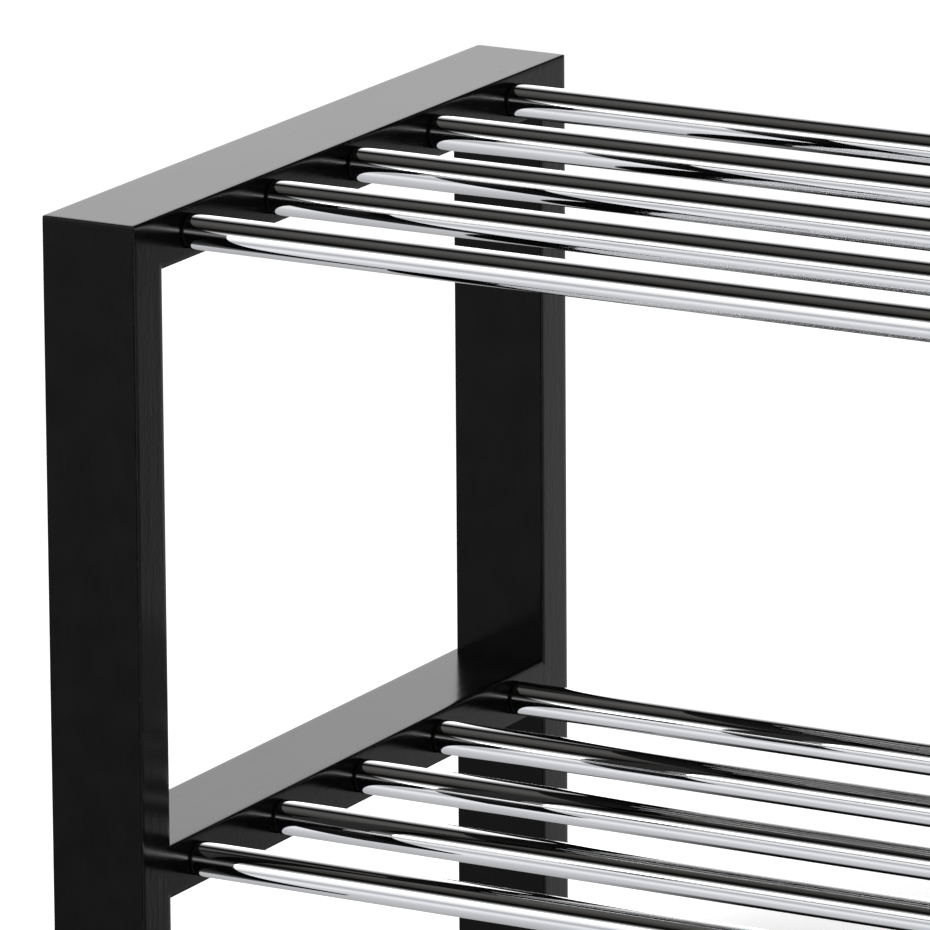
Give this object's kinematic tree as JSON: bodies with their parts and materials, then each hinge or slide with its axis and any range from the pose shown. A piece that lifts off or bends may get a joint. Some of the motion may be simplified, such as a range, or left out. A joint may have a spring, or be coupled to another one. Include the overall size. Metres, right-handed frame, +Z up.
{
  "type": "tiered shoe rack",
  "caption": "Low open shoe rack: square-edged gloss black side frames joined at each tier by parallel round chromed tubes set between the rails, standing on small glides.",
  "frame": {"origin": "on the floor, under the middle of the rack", "axes": "+X along the rack from the left side frame to the right one, +Y from front to rear, +Z up"},
  "size_m": [0.79, 0.32, 0.37],
  "materials": {
    "black_lacquer": "opaque black lacquer, high gloss",
    "chrome_tube": "bright chrome plate on steel",
    "black_plug": "moulded black plastic, gloss",
    "bolt_steel": "zinc-plated steel",
    "glide_plastic": "moulded black plastic, satin"
  },
  "bodies": {
    "root": {"left_front_post": "black_lacquer", "left_rear_post": "black_lacquer", "left_top_rail": "black_lacquer", "left_lower_rail": "black_lacquer", "right_front_post": "black_lacquer", "right_rear_post": "black_lacquer", "right_top_rail": "black_lacquer", "right_lower_rail": "black_lacquer", "lower_tube_1": "chrome_tube", "lower_tube_2": "chrome_tube", "lower_tube_3": "chrome_tube", "lower_tube_4": "chrome_tube", "lower_tube_5": "chrome_tube", "top_tube_1": "chrome_tube", "top_tube_2": "chrome_tube", "top_tube_3": "chrome_tube", "top_tube_4": "chrome_tube", "top_tube_5": "chrome_tube", "left_lower_plugs": "black_plug", "left_top_plugs": "black_plug", "left_bolts": "bolt_steel", "left_front_glide": "glide_plastic", "left_rear_glide": "glide_plastic", "right_lower_plugs": "black_plug", "right_top_plugs": "black_plug", "right_bolts": "bolt_steel", "right_front_glide": "glide_plastic", "right_rear_glide": "glide_plastic"}
  },
  "joints": []
}
